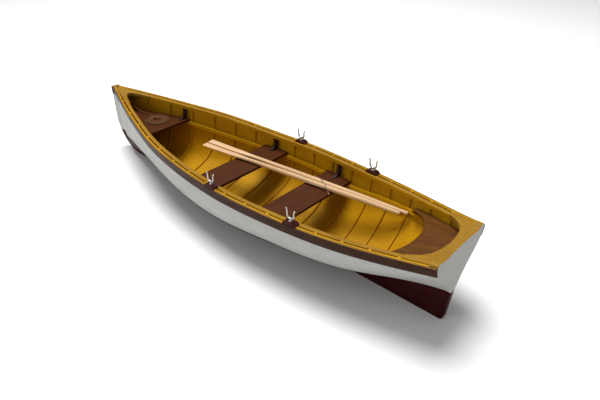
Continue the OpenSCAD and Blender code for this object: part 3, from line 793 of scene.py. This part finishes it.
for hand in ("port", "starboard"):
    for place, x in lock_places.items():
        y, z = lock_spot(x)
        turn = math.atan((half(x + 4) - half(x - 4)) / 8)     # along the gunwale
        end, top = pad_long / 2, pad_long / 2 - chamfer
        profile = [(-end, 0), (end, 0), (end, pad_edge), (top, pad_high), (-top, pad_high), (-end, pad_edge)]
        points, faces = loft([[(u, w, h) for u, h in profile] for w in (-pad_wide / 2, pad_wide / 2)])
        points = [(x + u * math.cos(turn) - w * math.sin(turn),
                   y + u * math.sin(turn) + w * math.cos(turn), z + h) for u, w, h in points]
        pad = make_piece(f"oarlock_pad_{hand}_{place}", mirrored(points, hand), faces, [pad_stain], .35, 3)
        fasten(pad, "pad_paint", f"oarlock_pad_{hand}_{place}")

        foot = z + pad_high
        r = (horn_gap + bar) / 2
        seat = foot + neck + r + bar / 2 - bar_sunk
        bend = [(x - r * math.cos(a), y, seat - r * math.sin(a)) for a in spaced(0, math.pi, 20)]
        left = [(x - r - lean, y, seat + up) for lean, up in horn]
        right = [(2 * x - u, y, h) for u, y, h in reversed(left)]
        path = left + bend + right
        radii = [bar / 2 * (bar_slim + bar_swell * math.sin(math.pi * i / (len(path) - 1)) ** 2)
                 for i in range(len(path))]
        lean, up = horn_tip
        path = [(x - r - lean, y, seat + up)] + path + [(x + r + lean, y, seat + up)]
        radii = [radii[0] * .5] + radii + [radii[-1] * .5]
        fork = joined(tube(path, radii), lathe(collar, (x, y, foot)))
        lock = make_piece(f"oarlock_{hand}_{place}", mirrored(fork[0], hand), fork[1], [pewter], sharp=60)
        fasten(lock, "pewter", f"oarlock_{hand}_{place}", body=f"oarlock_{hand}_{place}")

# ---------------------------------------------------------------- oars
# Two oars of pale bare wood lie side by side on the thwarts, blades forward. Each is worked
# from one stick: a turned grip, a round loom and a long flat narrow blade with a square end.

loom, grip = 3.6, 2.6
blade_wide, blade_thick, blade_long, throat_long = 5.6, 1.2, 46.0, 16.0
grip_long, shoulder_long, grip_round = 9.6, 2.4, .8
loom_start = grip_long + shoulder_long
slim, swell, taper = .3, .12, .35     # how much thinner the loom is by the grip, and by the blade
squareness = .45
oar_z = seat_low + seat_thick + loom / 2 + seam
oar_ends = {"oar_inner": ((53, -4.2), (-122, -26.2)), "oar_outer": ((54, -11.1), (-126, -29.6))}


def ease_in(u):
    """A smooth step from 0 to 1."""
    u = min(max(u, 0), 1)
    return u * u * (3 - 2 * u)


def oar_section(u, length):
    """Half width, half thickness and squareness of an oar, u from the grip's end."""
    if u < grip_long:
        r = grip / 2 * math.sqrt(max(1 - ((grip_round - min(u, grip_round)) / grip_round) ** 2, .0))
        r = max(r, .25) + swell * ease_in((u - 7) / 2)
        return r, r, 0
    if u < loom_start:
        r = grip / 2 + swell + (loom / 2 - (slim + swell) - grip / 2) * ease_in((u - grip_long) / 1.6)
        return r, r, 0
    r = loom / 2 - slim + slim * ease_in((u - loom_start) / 22)
    r -= taper * ease_in((u - length * .5) / (length * .3))
    flat = ease_in((u - (length - blade_long - 8)) / (throat_long + 14))
    k = ease_in((u - (length - blade_long - 6)) / (throat_long + 6))
    wide = r + (blade_wide / 2 - taper - r) * k + taper * ease_in((u - length + 30) / 30)
    return wide, r + (blade_thick / 2 - r) * flat, k


for name, (tip_at, grip_at) in oar_ends.items():
    run = Vector(tip_at) - Vector(grip_at)
    length = run.length
    go = run.normalized()
    side = Vector((-go.y, go.x))
    # Close steps along the grip, then even ones along the loom and the blade
    us = [0, .1, .25, .45, .8, 2, 4, 6, 7.5, 8.5, 9.6, 10, 10.6, 11.3, 12] + spaced(16, length - 56, 24)
    us += spaced(length - 52, length, 30)
    rings, sides = [], 28
    for u in us:
        wide, thick, square = oar_section(u, length)
        ring = []
        for k in range(sides):
            a = 2 * math.pi * k / sides
            c, s = math.cos(a), math.sin(a)
            power = 1 - squareness * square
            c, s = math.copysign(abs(c) ** power, c), math.copysign(abs(s) ** power, s)
            at = Vector(grip_at) + go * u + side * (wide * c)
            ring.append((at.x, at.y, oar_z + thick * s))
        rings.append(ring)
    stick = wood(name.replace("_", " ") + " wood", (.66, .45, .26), (.54, .34, .18), (.40, .22, .11),
                 math.atan2(go.y, go.x), rough=.5, streak=(16, 520, 520))
    oar = make_piece(name, *loft(rings), [stick], .15, 2, sharp=45)
    fasten(oar, "oar_wood", name, body="oars")

# ---------------------------------------------------------------- lashing
# A twisted thread ties the two looms together. It is wound round them ahead of the aft thwart,
# knotted, and led slantwise over both, and its loose end lies over the thwart's after edge.

thread, thread_pitch, thread_sides = .42, .9, 9


def fibre(name, light, dark, fineness):
    """Dull twisted fibre, with its fineness in lumps a metre."""
    r = Recipe(name, .8)
    fuzz = r.noise((fineness, fineness, fineness), 5, .7)
    return r.finish(r.ramp(fuzz, [(.35, dark), (.65, light)]), r.bump(fuzz, .06))


def laid_tube(path, radius, pitch, sides=12):
    """A cord of twisted strands along a path: a lobed ring that turns as it goes."""
    strands, depth = 3, .12
    rings, gone, up = [], 0.0, Vector((0, 0, 1))
    for i, p in enumerate(path):
        here, before, after = Vector(p), Vector(path[max(i - 1, 0)]), Vector(path[min(i + 1, len(path) - 1)])
        go = (after - before).normalized()
        gone += (here - before).length
        side = go.cross(up)
        side = side.normalized() if side.length > .05 else Vector((1, 0, 0))
        lift = side.cross(go).normalized()
        small = .35 if i in (0, len(path) - 1) else 1
        ring = []
        for k in range(sides):
            a = 2 * math.pi * k / sides
            twist = strands * a + 2 * math.pi * gone / pitch
            r = radius * small * (1 - depth + depth * math.cos(twist))
            ring.append(tuple(here + r * (math.cos(a) * side + math.sin(a) * lift)))
        rings.append(ring)
    return loft(rings)


def smoothed(path, step):
    """Evenly spaced points on a smooth curve through the path."""
    fine = []
    for i in range(len(path) - 1):
        p0, p1, p2, p3 = path[max(i - 1, 0)], path[i], path[i + 1], path[min(i + 2, len(path) - 1)]
        n = max(int((p2 - p1).length / step), 1)
        for k in range(n):
            u = k / n
            fine.append(.5 * ((2 * p1) + (p2 - p0) * u + (2 * p0 - 5 * p1 + 4 * p2 - p3) * u * u
                              + (3 * p1 - p0 - 3 * p2 + p3) * u ** 3))
    return fine + [path[-1]]


def round_loom(name, x, angle):
    """A point of the thread on a loom at x, its angle counted up from the port side."""
    (x0, y0), (x1, y1) = oar_ends["oar_" + name]
    out, a = loom / 2 + thread / 2, math.radians(angle)
    return Vector((x, y0 + (y1 - y0) * (x - x0) / (x1 - x0) + out * math.cos(a),
                   oar_z + out * math.sin(a)))


def wound(stops):
    """The thread's way over the looms, from stops of a loom, a place and an angle."""
    return [round_loom(which, x, angle) for which, x, angle in stops]


loose_end = [Vector((-70.8, -14.6, 17.3)), Vector((-69.4, -15.6, 17.5))]
slant = wound([("inner", -66.9, -25), ("inner", -66, 15), ("inner", -65, 55), ("inner", -63.8, 90),
               ("outer", -57.6, 80), ("outer", -55.6, 105), ("outer", -53.2, 140), ("outer", -50.6, 175)])
turns = wound([("outer", -48.4, 190), ("outer", -46.4, 212), ("outer", -45.3, 240), ("outer", -44.9, 270),
               ("inner", -44.8, 270), ("inner", -45, 315), ("inner", -46.5, 345), ("inner", -52, -5),
               ("inner", -60, 3), ("inner", -64.2, 20), ("inner", -64.2, 55), ("inner", -63, 90),
               ("outer", -56.8, 80), ("outer", -54.8, 105), ("outer", -52.4, 140), ("outer", -50.2, 170)])
knot_at = round_loom("outer", -50.6, 145)
knot = [knot_at + Vector((.75 * math.cos(a), .5 * math.sin(a), .5 * math.sin(a) + .06 * a))
        for a in spaced(0, 4 * math.pi, 32)]
thread_fibre = fibre("thread", (.50, .36, .25), (.27, .17, .11), 2200)
hitch = joined(*[laid_tube(way, thread / 2, thread_pitch, thread_sides)
                 for way in (smoothed(loose_end + slant + turns, .25), knot)])
lashing = make_piece("oar_lashing", *hitch, [thread_fibre], sharp=60)
fasten(lashing, "thread", "oar_lashing", body="oars")

# ---------------------------------------------------------------- painter
# A small ring in the stem carries a thin laid rope. It runs down under the breasthook to the
# fore seat, goes under its own coil to the eye, and is wound flat outwards from there.

rope, rope_pitch = .9, 2.6
coil_centre = Vector((116.5, -2.5))
coil_out, coil_in = 10.6, 2.8
whole_turns, per_turn = 7, 30
seat_top = bow_seat_z + seat_thick
ring_x, ring_z = fore_x - 10, 28.0
ring_round, ring_wire, staple_wire = 1.9, .35, .4
# The rope's way from the ring down to the fore seat
lead = [(160.1, -.1, 27.6), (158, -.3, 26.9), (154, -.8, 25.8), (150, -1.3, 24.9), (146, -1.8, 24.1),
        (142, -2.3, 23.4), (138, -2.9, 22.8), (134, -3.5, 22.4), (130.5, -4, 22.1)]

wire = []
for k in range(32):
    a = 2 * math.pi * k / 32
    wire.append([(ring_x + (ring_round + ring_wire * math.cos(b)) * math.cos(a), ring_wire * math.sin(b),
                  ring_z + (ring_round + ring_wire * math.cos(b)) * math.sin(a))
                 for b in [2 * math.pi * n / 12 for n in range(12)]])
wire.append(wire[0])
staple = [[(x, staple_wire * math.cos(b), ring_z + staple_wire * math.sin(b))
           for b in spaced(0, 2 * math.pi, 12)[:-1]] for x in (ring_x + ring_round, ring_x + 3, fore_x - 4)]
hardware = joined(loft(wire, ends=False), loft(staple))
ring = make_piece("painter_ring", *hardware, [pewter], sharp=60)
fasten(ring, "pewter", "painter_ring")

# Where the rope goes under the coil, and where it first touches the coil's eye
entry = Vector((127.6, -4.3)) - coil_centre
r_first, r_last = coil_in + rope / 2, coil_out - rope / 2
lie = seat_top + rope / 2 + seam
touch = math.atan2(entry.y, entry.x) + math.acos(r_first / entry.length)
touch_at = Vector((math.cos(touch), math.sin(touch))) * r_first
route = [Vector(p) for p in lead]
for u in spaced(0, 1, 7)[:-1]:
    at = coil_centre + entry + (touch_at - entry) * u
    route.append(Vector((at.x, at.y, lie)))
under = touch_at - entry


def hump(at):
    """How far the coil is lifted where it crosses the rope that runs below it."""
    high, wide = .88, 1.5
    u = min(max((at - entry).dot(under) / under.length_squared, 0), .94)
    gap = (at - entry - under * u).length
    return high * math.exp(-(gap / wide) ** 2)


end_angle = math.radians(82)      # where the last turn leaves the coil
turn_count = whole_turns + (end_angle - touch) / (2 * math.pi) % 1
for i in range(int(turn_count * per_turn) + 1):
    a = touch + 2 * math.pi * i / per_turn
    r = r_first + (r_last - r_first) * i / (turn_count * per_turn)
    at = Vector((math.cos(a), math.sin(a))) * r
    lift = hump(at) * ease_in((i - 8) / 14)
    route.append(Vector((coil_centre.x + at.x, coil_centre.y + at.y, lie + lift)))
leave = (route[-1] - route[-2]).normalized()
leave.z = 0
tail_step = 1.15
for _ in range(5):
    route.append(Vector((route[-1].x + leave.x * tail_step, route[-1].y + leave.y * tail_step, lie)))
route = smoothed(route, .32)
hemp = fibre("laid hemp", (.155, .075, .030), (.065, .028, .011), 1500)
points, faces = laid_tube(route, rope / 2, rope_pitch)
painter = make_piece("painter", points, faces, [hemp], sharp=70)
fasten(painter, "rope", "painter_line", "painter_coil")

# ---------------------------------------------------------------- studio
# A plain pale table top in soft even light: one wide lamp overhead towards the bow, a weaker
# one from the port side, and a bright room round them.

table_reach, table_z = 6.0, keel_foot * 0.001
table = bpy.data.meshes.new("table top")
table_corners = [(x * table_reach, y * table_reach, table_z) for x, y in ((-1, -1), (1, -1), (1, 1), (-1, 1))]
table.from_pydata(table_corners, [], [(0, 1, 2, 3)])
table_finish = Recipe("table", .8)
table_grain = table_finish.noise((900, 900, 900), 2)
table.materials.append(table_finish.finish(
    table_finish.ramp(table_grain, [(.3, (.9, .9, .9)), (.7, (.93, .93, .93))]),
    table_finish.bump(table_grain, .01)))
floor = bpy.data.objects.new("table top", table)
bpy.context.scene.collection.objects.link(floor)


def lamp(name, at, aim, size, power):
    light = bpy.data.objects.new(name, bpy.data.lights.new(name, "AREA"))
    light.data.shape = "DISK"
    light.data.size = size
    light.data.energy = power
    light.location = at
    light.rotation_mode = "QUATERNION"
    light.rotation_quaternion = (Vector(aim) - Vector(at)).to_track_quat("-Z", "Y")
    bpy.context.scene.collection.objects.link(light)


lamp("overhead", (.28, -.1, 1.25), (0, 0, 0), .75, 21)
lamp("side", (.3, 1.3, .6), (0, 0, 0), .9, 3.5)
room = bpy.context.scene.world or bpy.data.worlds.new("room")
bpy.context.scene.world = room
room.use_nodes = True
room.node_tree.nodes["Background"].inputs["Color"].default_value = (1, 1, 1, 1)
room.node_tree.nodes["Background"].inputs["Strength"].default_value = .30
bpy.context.scene.view_settings.view_transform = "Standard"
